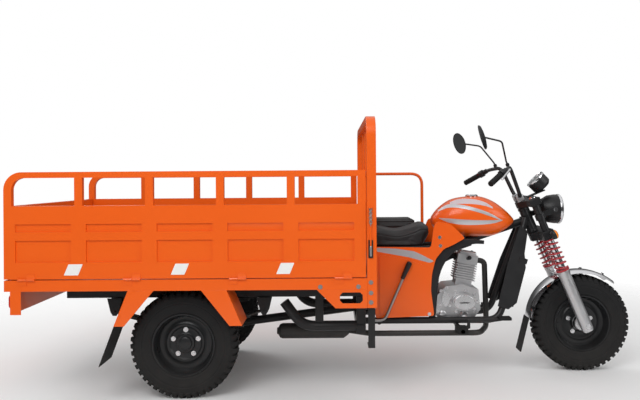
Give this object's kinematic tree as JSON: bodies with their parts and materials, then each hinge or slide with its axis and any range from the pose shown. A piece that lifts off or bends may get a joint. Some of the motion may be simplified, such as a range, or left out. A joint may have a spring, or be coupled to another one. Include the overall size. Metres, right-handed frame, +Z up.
{
  "type": "three-wheeled cargo motorcycle",
  "caption": "Open three-wheeled cargo motorcycle with a steered front wheel, saddle and tank, and a drop-side cargo bed on a leaf-sprung rear axle.",
  "frame": {"origin": "on the ground under the middle of the vehicle's length and width", "axes": "+X to the front, +Y to the rider's left, +Z up"},
  "size_m": [3.417, 1.274, 1.463],
  "materials": {
    "body_paint": "glossy orange",
    "chassis_paint": "satin black",
    "tyre": "matte",
    "wheel_paint": "gloss black",
    "rubber": "matte",
    "floor_steel": "worn chequer plate",
    "spring_steel": "dull",
    "cast_aluminium": "satin",
    "exhaust_steel": "dark",
    "chrome": "polished",
    "red_paint": "gloss red",
    "seat_cover": "soft vinyl",
    "black_plastic": "matte",
    "lens_clear": "clear",
    "lens_amber": "amber",
    "lens_red": "red"
  },
  "bodies": {
    "chassis": {"bed_sills": "body_paint", "bed_floor": "floor_steel", "bed_joists": "chassis_paint", "headboard": "body_paint", "headboard_wall": "body_paint", "headboard_bars": "body_paint", "headboard_brackets": "body_paint", "wheel_skirts": "body_paint", "rear_flaps": "rubber", "rear_panel": "body_paint", "tail_lamps": "lens_red", "side_steps": "chassis_paint", "frame_rails": "chassis_paint", "lower_rails": "chassis_paint", "front_frame": "chassis_paint", "leaf_springs": "spring_steel", "spring_hangers": "chassis_paint", "rear_axle": "chassis_paint", "drive_shaft": "chassis_paint", "engine_case": "cast_aluminium", "engine_cylinder": "cast_aluminium", "exhaust": "exhaust_steel", "radiator": "black_plastic", "fuel_tank": "body_paint", "fuel_cap": "chrome", "seat": "seat_cover", "side_covers": "body_paint", "passenger_frame": "body_paint", "passenger_seat": "seat_cover", "foot_controls": "chassis_paint", "parking_lever": "black_plastic"},
    "front_wheel": {"front_tyre": "tyre", "front_wheel": "wheel_paint"},
    "rear_right_wheel": {"rear_tyre_right": "tyre", "rear_wheel_right": "wheel_paint"},
    "rear_left_wheel": {"rear_tyre_left": "tyre", "rear_wheel_left": "wheel_paint"},
    "right_gate": {"side_gate_right": "body_paint"},
    "left_gate": {"side_gate_left": "body_paint"},
    "tailgate": {"tailgate": "body_paint"},
    "fork": {"fork_legs": "cast_aluminium", "fork_springs": "red_paint", "fork_yokes": "chassis_paint", "front_spindle": "cast_aluminium", "front_fender": "chrome", "front_flap": "rubber", "headlamp": "chrome", "headlamp_lens": "lens_clear", "gauge": "black_plastic", "handlebar": "chassis_paint", "hand_grips": "rubber", "hand_levers": "cast_aluminium", "mirrors": "black_plastic", "turn_signals": "lens_amber"}
  },
  "joints": [
    {"name": "steering", "type": "hinge", "parent": "chassis", "child": "fork", "pos_m": [1.12766, 0, 0.88871], "axis": [-0.3827, 0, 0.9239], "range_deg": [-40, 40]},
    {"name": "front_wheel_spin", "type": "hinge", "parent": "fork", "child": "front_wheel", "pos_m": [1.4285, 0, 0.28], "axis": [0, 1, 0], "continuous": true},
    {"name": "rear_right_wheel_spin", "type": "hinge", "parent": "chassis", "child": "rear_right_wheel", "pos_m": [-0.8125, -0.47, 0.28], "axis": [0, 1, 0], "continuous": true},
    {"name": "rear_left_wheel_spin", "type": "hinge", "parent": "chassis", "child": "rear_left_wheel", "pos_m": [-0.8125, 0.47, 0.28], "axis": [0, 1, 0], "continuous": true},
    {"name": "right_gate_hinge", "type": "hinge", "parent": "chassis", "child": "right_gate", "pos_m": [-0.7815, -0.631, 0.639], "axis": [1, 0, 0], "range_deg": [0, 180]},
    {"name": "left_gate_hinge", "type": "hinge", "parent": "chassis", "child": "left_gate", "pos_m": [-0.7815, 0.631, 0.639], "axis": [-1, 0, 0], "range_deg": [0, 180]},
    {"name": "tailgate_hinge", "type": "hinge", "parent": "chassis", "child": "tailgate", "pos_m": [-1.7025, 0, 0.639], "axis": [0, -1, 0], "range_deg": [0, 180]}
  ]
}
